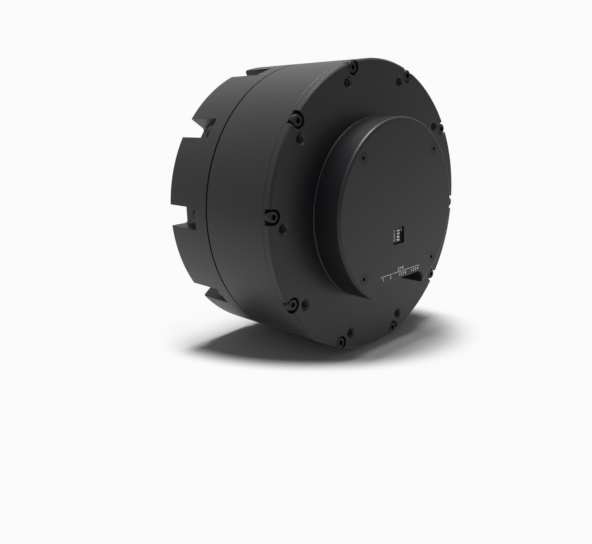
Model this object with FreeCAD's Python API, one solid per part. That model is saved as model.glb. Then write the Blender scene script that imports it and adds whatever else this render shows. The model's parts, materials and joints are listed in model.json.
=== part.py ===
"""Robot joint actuator: outer-rotor motor, two planetary stages, driver electronics.

The shaft axis is Y.  y = 0 is the front mounting face, the driver cover stands
in front of it (negative y) and the output flange turns at the rear.  Looked at
from the front, X is to the right and Z is up.  Lengths are in millimetres.
"""
import FreeCAD, Part
import math
import os

os.makedirs("parts", exist_ok=True)
V = FreeCAD.Vector
AXIS = V(0, 1, 0)

# ----------------------------------------------------------- general choices
slip = 0.05              # radial play of running and locating fits
cut_over = 3.0           # cutters reach past the surface that they open
seat_gap = 0.1           # axial play of a piece against its stop
rest_gap = 0.3           # play between parts that never touch
air = 0.75               # magnetic air gap

# -------------------------------------------------------------- motor, radial
stator_r = 50.0
stator_bore = 30.0
yoke_wall = 5.6
teeth_n = 36
tooth_w = 3.4
tip_t = 1.0
tip_gap = 2.0            # slot mouth between two tooth tips
coil_wall = 1.25
coil_tip_gap = 0.6       # coil to the neck of the tooth tip
magnet_n = 42
magnet_t = 2.25
magnet_w = 6.3
magnet_seat = 0.15
rotor_wall = 2.25
rotor_play = 0.6         # rotor to housing
wall = 4.0               # motor housing
rotor_in = stator_r + air + magnet_t + magnet_seat
rotor_r = rotor_in + rotor_wall
housing_bore = rotor_r + rotor_play
body_r = housing_bore + wall

# --------------------------------------------------------------- motor, axial
cover_rim_t = 3.7        # end cover at the rim
cover_spigot = 2.8       # its thick ring reaches this far into the housing
coil_end = 2.5
stack_len = 15.0
coil_play = 1.5          # coil ends to rotor web
web_t = 2.7
web_play = 0.9
flange_t = 5.0           # rear inner flange of the motor housing
cover_y = cover_rim_t + cover_spigot
stack_y0 = cover_y + coil_end + rest_gap
stack_y1 = stack_y0 + stack_len
web_y0 = stack_y1 + coil_end + coil_play
web_y1 = web_y0 + web_t
flange_y = web_y1 + web_play
seam_y = flange_y + flange_t
rotor_y0 = cover_y + 0.8

# --------------------------------------------------- rotor shaft and bearings
shaft_r = 7.5            # motor bearings 15 x 24 x 5
brg_r = 12.0
brg_w = 5.0
race_t = 1.7             # wall of each bearing race
shield_t = 0.4
brg_step = 1.4           # shoulder in front of the front bearing
shaft_foot = 3.0         # rotor shaft at its root, beyond the bearing seat
sleeve_wall = 3.0
carrier_wall = 3.5
web_n = 6
web_w = 2.5
clip_w = 1.0
clip_wall = 1.5
clip_groove = 0.5
bore_r = 2.9             # hollow shaft and suns
rod_r = 2.2              # output encoder rod
sun_shank_r = 4.6
sun_shank = 11.0         # length held in the rotor shaft
vent_n = 8
vent_r = 8.0
front_brg_y = cover_rim_t + 0.8
rear_brg_y = stack_y1 - brg_w - rest_gap
clip_y = front_brg_y - seat_gap - clip_w
shaft_root_r = shaft_r + shaft_foot

# ------------------------------------------------------------------- gearing
module_1 = 1.0
module_2 = 1.25
sun_n = 12
planet_teeth_n = 24
ring_teeth_n = sun_n + 2 * planet_teeth_n
planet_n = 3
face_1 = 6.7             # face widths of the two stages
face_2 = 8.0
plate_t = 1.1            # front plate of the first carrier
carrier_t = 3.0
carrier_hub = 1.2        # first carrier hub beyond the root of its sun
pin_1_r = 3.0
pin_2_r = 4.0
sleeve_t = 1.45
sleeve_play = 0.2        # front ends of the second sleeves, behind the start of their ring gear
pin_edge = 3.2           # plate beyond a pin
relief_r = 4.0           # holes between the pins of the first carrier
ring_1_wall = 4.75
ring_2_wall = 5.94
centre_1 = module_1 * (sun_n + planet_teeth_n) / 2
centre_2 = module_2 * (sun_n + planet_teeth_n) / 2
ring_1_r = module_1 * (ring_teeth_n / 2 + 1.25) + ring_1_wall
ring_2_r = module_2 * (ring_teeth_n / 2 + 1.25) + ring_2_wall

plate_y0 = web_y1 + 1.1
plate_y1 = plate_y0 + plate_t
g1_y0 = plate_y1 + 0.5
g1_y1 = g1_y0 + face_1
carrier_y0 = g1_y1 + 0.6
carrier_y1 = carrier_y0 + carrier_t
ring_1_y0 = g1_y0 - 0.2
ring_1_y1 = g1_y1 + 0.8
ring_stop = 2.0          # shoulder behind the first ring gear
spigot_y = ring_1_y0 - 0.5
g2_y0 = carrier_y1 + 1.2
g2_y1 = g2_y0 + face_2
ring_2_y0 = g2_y0 - 0.8
ring_2_y1 = g2_y1 + 0.4
tail_r = 5.0             # rear journal of the first carrier
tail_brg_r = 7.5
tail_brg_w = 4.0
tail_race_t = 0.95

# ---------------------------------------------- output bearing, flange, cover
xb_w = 6.2               # crossed-roller bearing
xb_section = 12.0
xb_split = 0.6           # gap between its races
roller_r = 1.45
roller_n = 24
rear_ring_t = 1.5
rear_ring_land = 5.0     # rear ring beyond the bearing
seal_w = 3.4
out_lip = 1.5            # flange edge inside the bearing's middle
out_proud = 1.5
out_chamfer = 0.4
out_hole_n = 8
out_hole_depth = 7.5
out_hole_inset = 3.0
dowel_n = 4
dowel_r = 2.0
dowel_depth = 2.5
pilot_r = 12.0
pilot_d = 3.0
rod_head_r = 8.0
rod_head_t = 1.4
xb_y0 = ring_2_y1 + 0.2
xb_y1 = xb_y0 + xb_w
body_len = xb_y1 + rear_ring_t
xb_out = ring_2_r
xb_in = xb_out - xb_section
xb_mid = (xb_in + xb_out) / 2
out_r = xb_mid - out_lip
out_y0 = xb_y0 + 0.2
out_y1 = body_len + out_proud
rod_head_y = out_y1 - pilot_d - rod_head_t
out_circle_r = xb_in - out_hole_inset
rear_ring_r = xb_out + rear_ring_land
rear_screw_r = (xb_out + rear_ring_r) / 2

# ------------------------------------------------- stations round the housing
station_n = 10           # mounting holes, rim screws and rear slots
rim_turn = -4.9          # degrees from a mounting hole to its rim screw
mount_inset = 6.75
mount_depth = 5.8
tap_m4_r = 1.65
thread_m4_r = 2.0
mouth_r = 2.5
mount_land = 4.75        # metal inside the mounting holes
rim_inset = 2.2
pocket_w = 6.0
pocket_d = 2.7
slot_w = 9.0
slot_depth = 8.5
slot_wall = 7.1          # gearbox flange in front of the slots
slot_fillet = 1.2
slot_land = 5.75         # gearbox spigot inside the slot screws
groove_w = 0.9
groove_d = 0.9
rim_break = 0.7
joint_break = 0.15       # edges of the joint behind the end cover
seal_t = 1.6
seal_len = 2.0
mount_r = body_r - mount_inset
rim_screw_r = body_r - rim_inset
slot_floor = body_r - slot_depth
slot_screw_r = body_r - slot_depth / 2
slot_y = seam_y + slot_wall
spigot_r = slot_screw_r - slot_land
seal_in_r = spigot_r - seal_t
seal_y0 = spigot_y + 1.0
seal_y1 = seal_y0 + seal_len

# --------------------------------------------------------------------- screws
rim_head_r = 2.25        # M2.5 socket head
rim_head_h = 2.5
rim_shank_r = 1.2
rim_len = 8.0
rim_key = 2.0
slot_head_r = 3.5        # M4 socket head
slot_head_h = 4.0
slot_shank_r = 1.95
slot_len = 12.0
slot_key = 3.0
slot_hole_play = 0.25
head_break = 0.3         # turned edge on top of a socket head
flat_head_r = 2.35       # M2.5 countersunk
flat_shank_r = 1.2
flat_key = 1.5
flat_key_d = 0.8
hub_screw_len = 16.0
rear_screw_len = 8.0
m25_r = flat_shank_r + slip
through_r = 1.35

# ---------------------------------------------------------------- electronics
board_t = 1.6
part_room = 2.8          # board to the inside of the cover plate
port_len = 9.0           # sockets in the bay ceiling
port_gap = 1.65
port_clear = 0.2
port_floor = 1.2         # cover wall between the sockets and the mounting face
power_w = 10.8
power_h = 5.1
power_wall = 0.8
power_depth = 6.0
power_pin_n = 2
bus_w = 7.0
bus_h = 4.0
bus_wall = 0.6
bus_depth = 5.0
bus_pin_n = 4
chip_t = 1.0
chip_w = 7.0
chip_x = 12.5
chip_z = -8.5
fet_w = 5.0              # power transistors, two rows of three
fet_l = 6.0
fet_pitch_x = 6.5
fet_pitch_z = 8.0
fet_z = 9.0
pad_margin = 0.5
cap_r = 4.0
cap_x = 15.0
cap_z = -12.0
cap_end = 0.6            # capacitor to the mounting face
sensor_w = 4.0
sensor_l = 5.0
sensor_z = 7.5           # sensor over the rotor's ring magnet
sensor_gap = 1.4
board_play = 1.3
standoff_r = 2.8
standoff_foot = 0.5      # length inside the end cover
board_screw_r = 0.75
board_head_r = 1.8
board_head_h = 1.2
board_screw_len = 6.2
lead_wire_r = 1.2
lead_inset = 1.9
lead_angles = (70, 90, 110)
rod_magnet_r = 3.2
rod_magnet_t = 2.2
ring_magnet_t = 2.5
ring_magnet_lead = 0.2   # ring magnet behind the plane of the rod magnet

# --------------------------------------------------------------- driver cover
hub_r = 37.5
hub_wall = 2.4
hub_plate = 2.0
hub_edge = 1.2
hub_foot = 0.3           # step round the base of the cover
hub_foot_t = 0.5
hub_foot_break = 0.2
hub_screw_inset = 4.5
hub_boss_r = 3.4
bay_half = 16.5          # connector bay, open downwards
bay_depth = 9.5
bay_fillet = 3.5
bay_wall = 1.8
bay_break = 0.4          # deburred front edge of the bay
hub_h = hub_plate + part_room + board_t + rest_gap + power_h + port_floor
bay_top = bay_depth - hub_r
hub_screw_at = (hub_r - hub_screw_inset) / math.sqrt(2)
board_y0 = -hub_h + hub_plate + part_room
board_y1 = board_y0 + board_t
board_r = hub_r - hub_wall - board_play
board_bottom = bay_top + bay_wall + 0.8
lead_r = board_r - lead_inset
standoff_x = board_r - standoff_r - 1.5
standoff_z = lead_r - lead_wire_r - standoff_r - 2.9
standoffs = [(-standoff_x, 0.0), (standoff_x, 0.0), (0.0, standoff_z)]
rod_y0 = board_y1 + chip_t + sensor_gap + rod_magnet_t
shaft_y0 = board_y1 + chip_t + sensor_gap + ring_magnet_lead + ring_magnet_t

# ------------------------------------------------------------- address switch
switch_w = 6.8
switch_h = 6.3
switch_x = -0.9
switch_z = -9.7
switch_proud = 1.05      # into the window of the cover plate
window_gap = 0.3
row_n = 4
row_pitch = 1.27
slide_len = 3.2
slide_shift = 1.15       # slots beside the numbers
slide_gap = 0.2
slide_w = 0.9
slide_depth = 1.6
slide_play = 0.08
knob_len = 1.5
knob_proud = 0.35
switch_y = -hub_h + hub_plate - switch_proud
slide_x = switch_x + slide_shift


# ------------------------------------------------------------------- helpers
def cyl(r, y0, y1, x=0.0, z=0.0):
    return Part.makeCylinder(r, y1 - y0, V(x, y0, z), AXIS)


def tube(r_out, r_in, y0, y1, x=0.0, z=0.0):
    return cyl(r_out, y0, y1, x, z).cut(cyl(r_in, y0 - 1, y1 + 1, x, z))


def cone(r0, r1, y0, y1, x=0.0, z=0.0):
    return Part.makeCone(r0, r1, y1 - y0, V(x, y0, z), AXIS)


def box(x0, x1, y0, y1, z0, z1):
    return Part.makeBox(x1 - x0, y1 - y0, z1 - z0, V(x0, y0, z0))


def block(x, z, w, l, y0, y1):
    """Box centred on (x, z)."""
    return box(x - w / 2, x + w / 2, y0, y1, z - l / 2, z + l / 2)


def cut_all(shape, tools):
    for tool in tools:
        shape = shape.cut(tool)
    return shape


def turned(shape, deg):
    """A copy moved from +X to `deg`, counted from +X towards +Z."""
    s = shape.copy()
    s.rotate(V(0, 0, 0), AXIS, -deg)
    return s


def around(shape, n, start=0.0):
    return [turned(shape, start + i * 360.0 / n) for i in range(n)]


def polar(r, a):
    return (r * math.cos(a), r * math.sin(a))


def corners(a):
    return [(-a, a), (a, a), (a, -a), (-a, -a)]


def prism(points, y0, y1):
    """Extrude a closed outline of (x, z) points."""
    pts = [V(x, y0, z) for x, z in points]
    face = Part.Face(Part.makePolygon(pts + pts[:1]))
    return face.extrude(V(0, y1 - y0, 0))


def revolved(points):
    """Turn an outline of (radius, y) points round the shaft axis."""
    pts = [V(r, y, 0) for r, y in points]
    face = Part.Face(Part.makePolygon(pts + pts[:1]))
    return face.revolve(V(0, 0, 0), AXIS, 360)


def hexagon(across, y0, y1, x=0.0, z=0.0):
    r = across / math.sqrt(3)
    pts = [polar(r, math.radians(60 * i)) for i in range(6)]
    return prism([(x + px, z + pz) for px, pz in pts], y0, y1)


def circle_edges(shape, radius, y):
    """The full circles of one radius in the plane at y."""
    def fits(e):
        return (isinstance(e.Curve, Part.Circle) and abs(e.Curve.Radius - radius) < 1e-3
                and abs(e.BoundBox.YMin - y) < 1e-3 and abs(e.BoundBox.YMax - y) < 1e-3)
    return [e for e in shape.Edges if fits(e)]


def save(name, *solids):
    shape = solids[0] if len(solids) == 1 else Part.makeCompound(list(solids))
    shape.exportStep("parts/%s.step" % name)


# -------------------------------------------------------------------- screws
def cap_screw(head_r, head_h, shank_r, length, key, seat_y, r_at, up):
    """Socket head screw on +X; `up` is +1 or -1, the side its head stands on."""
    top = seat_y + up * head_h
    end = seat_y - up * length
    sunk = top - up * head_h / 2
    s = cyl(head_r, min(seat_y, top), max(seat_y, top), r_at)
    s = s.makeChamfer(head_break, circle_edges(s, head_r, top))
    s = s.fuse(cyl(shank_r, min(seat_y, end), max(seat_y, end), r_at))
    return s.cut(hexagon(key, min(top, sunk), max(top, sunk), r_at)).removeSplitter()


def rim_screw():
    return cap_screw(rim_head_r, rim_head_h, rim_shank_r, rim_len, rim_key, pocket_d, rim_screw_r, -1)


def slot_screw():
    return cap_screw(slot_head_r, slot_head_h, slot_shank_r, slot_len, slot_key, slot_y, slot_screw_r, 1)


def flat_screw(length, top_y, x, z, into):
    """Countersunk screw with its top at top_y, pointing along `into` (+1 or -1)."""
    under = top_y + into * (flat_head_r - flat_shank_r)
    end = top_y + into * length
    sunk = top_y + into * flat_key_d
    if into > 0:
        s = cone(flat_head_r, flat_shank_r, top_y, under, x, z)
    else:
        s = cone(flat_shank_r, flat_head_r, under, top_y, x, z)
    s = s.fuse(cyl(flat_shank_r, min(top_y, end), max(top_y, end), x, z))
    return s.cut(hexagon(flat_key, min(top_y, sunk), max(top_y, sunk), x, z)).removeSplitter()


def flat_seat(top_y, end_y, x, z):
    """Countersink at top_y and through hole to end_y for a flat_screw with `slip`."""
    mouth = flat_head_r + slip
    deep = mouth - through_r
    if end_y > top_y:
        s = cone(mouth, through_r, top_y, top_y + deep, x, z)
    else:
        s = cone(through_r, mouth, top_y - deep, top_y, x, z)
    return s.fuse(cyl(through_r, min(top_y, end_y), max(top_y, end_y), x, z))


# ================================================================== housings
def end_cover():
    s = cyl(body_r, 0, cover_rim_t)
    s = s.makeChamfer(rim_break, circle_edges(s, body_r, 0))
    s = s.makeChamfer(joint_break, circle_edges(s, body_r, cover_rim_t))
    s = s.fuse(tube(housing_bore - slip, mount_r - mount_land, cover_rim_t, cover_y))
    s = s.fuse(tube(stator_bore, stator_bore - carrier_wall, cover_rim_t, stack_y1))
    s = s.fuse(tube(brg_r + sleeve_wall, brg_r, cover_rim_t, rear_brg_y + brg_w))
    web = box(brg_r + 1, stator_bore - 1, cover_rim_t, stack_y0, -web_w / 2, web_w / 2)
    for w in around(web, web_n, 180.0 / web_n):
        s = s.fuse(w)
    s = s.cut(cyl(brg_r, front_brg_y, stack_y1 + 1)).cut(cyl(brg_r - brg_step, -1, front_brg_y))
    for x, z in standoffs:
        s = s.fuse(cyl(standoff_r, board_y1, standoff_foot, x, z))
        s = s.cut(cyl(board_screw_r + slip, board_y1 - 1, board_y0 + board_screw_len + 0.4, x, z))
    hole = cyl(tap_m4_r, -1, mount_depth, mount_r)
    hole = hole.fuse(cone(mouth_r, thread_m4_r, 0, mouth_r - thread_m4_r, mount_r))
    s = cut_all(s, around(hole, station_n))
    pocket = cyl(pocket_w / 2, -1, pocket_d, rim_screw_r)
    pocket = pocket.fuse(box(rim_screw_r, body_r + 2, -1, pocket_d, -pocket_w / 2, pocket_w / 2))
    pocket = pocket.fuse(cyl(through_r, -1, cover_rim_t + 1, rim_screw_r))
    s = cut_all(s, around(pocket, station_n, rim_turn))
    s = cut_all(s, [cyl(m25_r, -1, hub_screw_len - hub_h + 0.2, x, z) for x, z in corners(hub_screw_at)])
    lead_hole = cyl(lead_wire_r + 0.4, -1, cover_y + 1, lead_r)
    return cut_all(s, [turned(lead_hole, a) for a in lead_angles]).removeSplitter()


def motor_housing():
    s = tube(body_r, housing_bore, cover_rim_t, seam_y)
    s = s.makeChamfer(joint_break, circle_edges(s, body_r, cover_rim_t))
    s = s.fuse(tube(body_r, spigot_r, flange_y, seam_y))
    s = s.cut(tube(body_r + 1, body_r - groove_d, seam_y - groove_w, seam_y + 1))
    tapped = cyl(m25_r, 0, pocket_d + rim_len + 1, rim_screw_r)
    s = cut_all(s, around(tapped, station_n, rim_turn))
    bolt = cyl(slot_shank_r + slip, flange_y - 1, seam_y + 1, slot_screw_r)
    return cut_all(s, around(bolt, station_n)).removeSplitter()


def gearbox_housing():
    s = cyl(body_r, seam_y, body_len)
    s = s.makeChamfer(rim_break, circle_edges(s, body_r, body_len))
    s = s.fuse(cyl(spigot_r - slip, spigot_y, seam_y))
    s = s.cut(cyl(ring_1_r, spigot_y - 1, ring_1_y1)).cut(cyl(ring_1_r - ring_stop, spigot_y, body_len))
    s = s.cut(cyl(ring_2_r, ring_2_y0, body_len + 1)).cut(cyl(rear_ring_r, xb_y1, body_len + 1))
    s = s.cut(tube(spigot_r, seal_in_r, seal_y0, seal_y1))
    slot = box(slot_floor, body_r + cut_over, slot_y, body_len + cut_over, -slot_w / 2, slot_w / 2)
    floor = [e for e in slot.Edges if abs(e.BoundBox.XMax - slot_floor) < 1e-6
             and e.BoundBox.YLength > 1]
    slot = slot.makeFillet(slot_fillet, floor)
    s = cut_all(s, around(slot, station_n))
    bolt = cyl(slot_shank_r + slot_hole_play, seam_y - 1, slot_y + 1, slot_screw_r)
    s = cut_all(s, around(bolt, station_n))
    tapped = cyl(m25_r, body_len - rear_screw_len - 0.5, xb_y1 + 1, rear_screw_r)
    return cut_all(s, around(tapped, station_n, 180.0 / station_n)).removeSplitter()


# ============================================================== driver cover
def bay(grow, y0, y1):
    """Block that opens the connector bay; `grow` adds a wall on its closed sides."""
    w = bay_half + grow
    top = bay_top + grow
    b = box(-w, w, y0, y1, -hub_r - cut_over, top)
    upper = [e for e in b.Edges if abs(e.BoundBox.ZMin - top) < 1e-6 and e.BoundBox.YLength > 1]
    return b.makeFillet(bay_fillet + grow, upper)


def ports():
    """Place and size of each socket: x and y ranges, wall, depth, contacts."""
    sizes = (("power_connector", power_w, power_h, power_wall, power_depth, power_pin_n),
             ("bus_connector_a", bus_w, bus_h, bus_wall, bus_depth, bus_pin_n),
             ("bus_connector_b", bus_w, bus_h, bus_wall, bus_depth, bus_pin_n))
    x = -(power_w + 2 * bus_w + 2 * port_gap) / 2
    y0 = board_y1 + rest_gap
    out = []
    for name, w, h, t, depth, pins in sizes:
        out.append((name, x, x + w, y0, y0 + h, t, depth, pins))
        x += w + port_gap
    return out


def driver_cover():
    inner_y = -hub_h + hub_plate
    outside = cyl(hub_r, -hub_h, 0)
    outside = outside.makeFillet(hub_edge, circle_edges(outside, hub_r, -hub_h))
    foot = cyl(hub_r + hub_foot, -hub_foot_t, 0)
    foot = foot.makeChamfer(hub_foot_break, circle_edges(foot, hub_r + hub_foot, -hub_foot_t))
    outside = outside.fuse(foot)
    room = cyl(hub_r - hub_wall, inner_y, 1).cut(bay(bay_wall, -hub_h - 1, 2))
    room = cut_all(room, [cyl(hub_boss_r, inner_y - 1, 2, x, z) for x, z in corners(hub_screw_at)])
    s = outside.cut(room).cut(bay(0.0, -hub_h - 1, 1))
    ceiling = [e for e in s.Edges if abs(e.BoundBox.YMax + hub_h) < 1e-3 and e.BoundBox.YLength < 1e-3
               and abs(e.BoundBox.ZMax - bay_top) < 1e-3 and e.BoundBox.ZLength < 1e-3]
    s = s.makeChamfer(bay_break, ceiling)
    s = cut_all(s, [flat_seat(-hub_h, 1, x, z) for x, z in corners(hub_screw_at)])
    w, l = switch_w + 2 * window_gap, switch_h + 2 * window_gap
    s = s.cut(block(switch_x, switch_z, w, l, -hub_h - 1, inner_y + 1))
    for name, x0, x1, y0, y1, t, depth, pins in ports():
        c = port_clear
        s = s.cut(box(x0 - c, x1 + c, y0 - c, y1 + c, bay_top - 1, bay_top + bay_wall + 1))
    return s.removeSplitter()


def socket(x0, x1, y0, y1, t, depth, pins):
    """Socket with its mouth in the bay ceiling and its contacts inside."""
    s = box(x0, x1, y0, y1, bay_top, bay_top + port_len)
    s = s.cut(box(x0 + t, x1 - t, y0 + t, y1 - t, bay_top - 1, bay_top + depth))
    mid, step = (y0 + y1) / 2, (x1 - x0 - 2 * t) / pins
    half = min(step * 0.22, 0.9)
    for i in range(pins):
        x = x0 + t + step * (i + 0.5)
        s = s.fuse(box(x - half, x + half, mid - half, mid + half, bay_top + 1.2, bay_top + depth + 0.5))
    return s.removeSplitter()


def driver_board():
    y0, y1 = board_y0 - 1, board_y1 + 1
    s = cyl(board_r, board_y0, board_y1).cut(box(-hub_r, hub_r, y0, y1, -hub_r, board_bottom))
    s = cut_all(s, [cyl(hub_boss_r + 0.6, y0, y1, x, z) for x, z in corners(hub_screw_at)])
    s = cut_all(s, [cyl(board_screw_r + 0.15, y0, y1, x, z) for x, z in standoffs])
    wire = cyl(lead_wire_r + slip, y0, y1, lead_r)
    return cut_all(s, [turned(wire, a) for a in lead_angles])


def board_screw(x, z):
    head = cyl(board_head_r, board_y0 - board_head_h, board_y0, x, z)
    return head.fuse(cyl(board_screw_r, board_y0, board_y0 + board_screw_len, x, z))


def power_transistors():
    return [block(x, z, fet_w, fet_l, board_y0 - chip_t, board_y0)
            for x in (-fet_pitch_x, 0, fet_pitch_x) for z in (fet_z, fet_z + fet_pitch_z)]


def thermal_pad():
    w = 2 * fet_pitch_x + fet_w + 2 * pad_margin
    l = fet_pitch_z + fet_l + 2 * pad_margin
    return block(0, fet_z + fet_pitch_z / 2, w, l, -hub_h + hub_plate, board_y0 - chip_t)


# ------------------------------------------------------------- address switch
def switch_rows():
    return [switch_z + row_pitch * ((row_n - 1) / 2 - i) for i in range(row_n)]


def switch_body():
    s = block(switch_x, switch_z, switch_w, switch_h, switch_y, board_y0)
    return cut_all(s, [block(slide_x, z, slide_len, slide_w, switch_y - 1, switch_y + slide_depth)
                       for z in switch_rows()])


def switch_slider(z):
    x0 = slide_x - slide_len / 2 + slide_gap
    half = slide_w / 2 - slide_play
    return box(x0, x0 + knob_len, switch_y - knob_proud, switch_y + slide_depth - slide_play,
               z - half, z + half)


# ===================================================================== motor
half_pitch = math.pi / teeth_n
neck_r = stator_r - 1.8 * tip_t


def stator_core():
    yoke_r = stator_bore + yoke_wall
    half_tooth = tooth_w / 2
    half_tip = half_pitch - tip_gap / 2 / stator_r
    side = [(yoke_r, half_pitch), (yoke_r, half_tooth / yoke_r), (neck_r, half_tooth / neck_r),
            (stator_r - tip_t, half_tip), (stator_r, half_tip)]
    pts = []
    for i in range(teeth_n):
        a = 2 * half_pitch * i
        pts += [polar(r, a - t) for r, t in side] + [polar(r, a + t) for r, t in reversed(side[1:])]
    return prism(pts, stack_y0, stack_y1).cut(cyl(stator_bore, 0, stack_y1 + 1))


def stator_coils():
    neck = tooth_w / 2 + slip
    half = neck + coil_wall
    inner = max(stator_bore + yoke_wall, (half + rest_gap / 2) / math.tan(half_pitch)) + rest_gap
    outer = neck_r - coil_tip_gap
    c = box(inner, outer, stack_y0 - coil_end, stack_y1 + coil_end, -half, half)
    c = c.cut(box(inner - 1, outer + 1, stack_y0 - slip, stack_y1 + slip, -neck, neck))
    return around(c, teeth_n)


def rotor_cup():
    s = tube(rotor_r, rotor_in, rotor_y0, web_y1).fuse(cyl(rotor_r, web_y0, web_y1))
    s = s.fuse(cyl(shaft_root_r, rear_brg_y + brg_w + 0.6, web_y1)).fuse(cyl(shaft_r, shaft_y0, web_y1))
    vent = cyl(vent_r, web_y0 - 1, web_y1 + 1, (shaft_root_r + rotor_r) / 2)
    s = cut_all(s, around(vent, vent_n, 180.0 / vent_n))
    s = s.cut(tube(shaft_r + 1, shaft_r - clip_groove, clip_y - slip, clip_y + clip_w + slip))
    return s.cut(cyl(bore_r, shaft_y0 - 1, web_y1 + 1)).cut(
        cyl(sun_shank_r, web_y1 - sun_shank, web_y1 + 1)).removeSplitter()


def sun_gear_1():
    s = outer_gear(module_1, sun_n, g1_y0 - 0.2, g1_y1 + 0.2)
    s = s.fuse(cyl(sun_shank_r, web_y1 - sun_shank, g1_y0 - 0.2))
    return s.cut(cyl(bore_r, 0, carrier_y1)).removeSplitter()


def bearing_outer(y0):
    """Outer race with the two shields that hide the balls."""
    inner = brg_r - race_t + 0.1
    s = tube(brg_r, inner, y0, y0 + brg_w)
    for y in (y0 + 0.3, y0 + brg_w - 0.3 - shield_t):
        s = s.fuse(tube(inner + 0.3, shaft_r + race_t + 0.3, y, y + shield_t))
    return s.removeSplitter()


def bearing_inner(y0):
    return tube(shaft_r + race_t, shaft_r, y0, y0 + brg_w)


# ============================================================== gear train
def gear_points(m, teeth, turn, inner=False):
    """Tooth outline with straight flanks, slimmed for play, one tooth at `turn`."""
    side = -1.0 if inner else 1.0
    tip = m * (teeth / 2.0 + side)
    root = m * (teeth / 2.0 - side * 1.25)
    half_tip, half_root = 0.36 * m / tip, 0.74 * m / root
    pts = []
    for i in range(teeth):
        a = turn + 2 * math.pi * i / teeth
        pts += [polar(root, a - half_root), polar(tip, a - half_tip),
                polar(tip, a + half_tip), polar(root, a + half_root)]
    return pts


def outer_gear(m, teeth, y0, y1, turn=0.0):
    return prism(gear_points(m, teeth, turn), y0, y1)


def ring_gear(m, r_out, y0, y1):
    return cyl(r_out, y0, y1).cut(prism(gear_points(m, ring_teeth_n, 0.0, True), y0 - 1, y1 + 1))


def planet_gears(m, pin_r, centre, y0, y1):
    """Planets turned so that they mesh with a sun that has a tooth on +X."""
    out = []
    for i in range(planet_n):
        a = 2 * math.pi * i / planet_n
        mesh = a + math.pi - (math.pi - sun_n * a) / planet_teeth_n
        g = outer_gear(m, planet_teeth_n, y0, y1, mesh)
        g = g.cut(cyl(pin_r + sleeve_t + slip, y0 - 1, y1 + 1))
        x, z = polar(centre, a)
        g.translate(V(x, 0, z))
        out.append(g)
    return out


def carrier_plate(r_in, y0, y1):
    """Plate of the first carrier with the holes of its pins."""
    s = tube(centre_1 + pin_1_r + pin_edge, r_in, y0, y1)
    return cut_all(s, around(cyl(pin_1_r, y0 - 1, y1 + 1, centre_1), planet_n))


def carrier_1():
    s = carrier_plate(bore_r, carrier_y0, carrier_y1)
    relief = cyl(relief_r, carrier_y0 - 1, carrier_y1 + 1, centre_1 - 1)
    s = cut_all(s, around(relief, planet_n, 180.0 / planet_n))
    s = s.fuse(cyl(module_2 * (sun_n / 2 - 1.25) + carrier_hub, carrier_y0, g2_y0 - 0.2))
    s = s.fuse(outer_gear(module_2, sun_n, g2_y0 - 0.2, g2_y1 + 0.1))
    s = s.fuse(cyl(tail_r, g2_y1, out_y0 + tail_brg_w - 0.2))
    return s.cut(cyl(bore_r, 0, body_len)).removeSplitter()


# ================================================================ output end
def race(r_from, r_to):
    """Race of the crossed-roller bearing with its V groove."""
    mid, half = (xb_y0 + xb_y1) / 2, (roller_r + slip) * math.sqrt(2)
    vee = revolved([(xb_mid - half, mid), (xb_mid, mid - half), (xb_mid + half, mid), (xb_mid, mid + half)])
    return tube(r_to, r_from, xb_y0, xb_y1).cut(vee)


def crossed_rollers():
    mid = (xb_y0 + xb_y1) / 2
    out = []
    for i in range(roller_n):
        lean = V(1, 1 if i % 2 else -1, 0).normalize()
        start = V(xb_mid, mid, 0) - lean * roller_r
        roller = Part.makeCylinder(roller_r, 2 * roller_r, start, lean)
        out.append(turned(roller, i * 360.0 / roller_n))
    return out


def output_flange():
    s = cyl(out_r, xb_y1, out_y1)
    s = s.makeChamfer(out_chamfer, circle_edges(s, out_r, out_y1))
    s = s.fuse(cyl(xb_in, out_y0, xb_y1))
    s = s.cut(cyl(tail_brg_r, out_y0 - 1, out_y0 + tail_brg_w)).cut(cyl(rod_r + slip, out_y0, out_y1))
    s = s.cut(cyl(rod_head_r, rod_head_y, out_y1)).cut(cyl(pilot_r, out_y1 - pilot_d, out_y1 + 1))
    s = cut_all(s, around(cyl(pin_2_r, out_y0 - 1, xb_y1, centre_2), planet_n))
    tapped = cyl(tap_m4_r, out_y1 - out_hole_depth, out_y1 + 1, out_circle_r)
    mouth_y = out_y1 - (mouth_r - thread_m4_r)
    tapped = tapped.fuse(cone(thread_m4_r, mouth_r, mouth_y, out_y1, out_circle_r))
    s = cut_all(s, around(tapped, out_hole_n))
    dowel = cyl(dowel_r, out_y1 - dowel_depth, out_y1 + 1, out_circle_r)
    return cut_all(s, around(dowel, dowel_n, 180.0 / out_hole_n)).removeSplitter()


def rear_ring():
    s = tube(rear_ring_r - slip, out_r + seal_w, xb_y1, body_len)
    seat = flat_seat(body_len, xb_y1 - 1, rear_screw_r, 0)
    return cut_all(s, around(seat, station_n, 180.0 / station_n))


# ==================================================================== export
save("end_cover", end_cover())
save("motor_housing", motor_housing())
save("gearbox_housing", gearbox_housing())
save("driver_cover", driver_cover())
save("rim_screws", *around(rim_screw(), station_n, rim_turn))
save("slot_screws", *around(slot_screw(), station_n))
save("hub_screws", *[flat_screw(hub_screw_len, -hub_h + slip, x, z, 1) for x, z in corners(hub_screw_at)])
save("seam_seal", tube(spigot_r - slip / 2, seal_in_r + slip, seal_y0 + seat_gap, seal_y1 - seat_gap))

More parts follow.
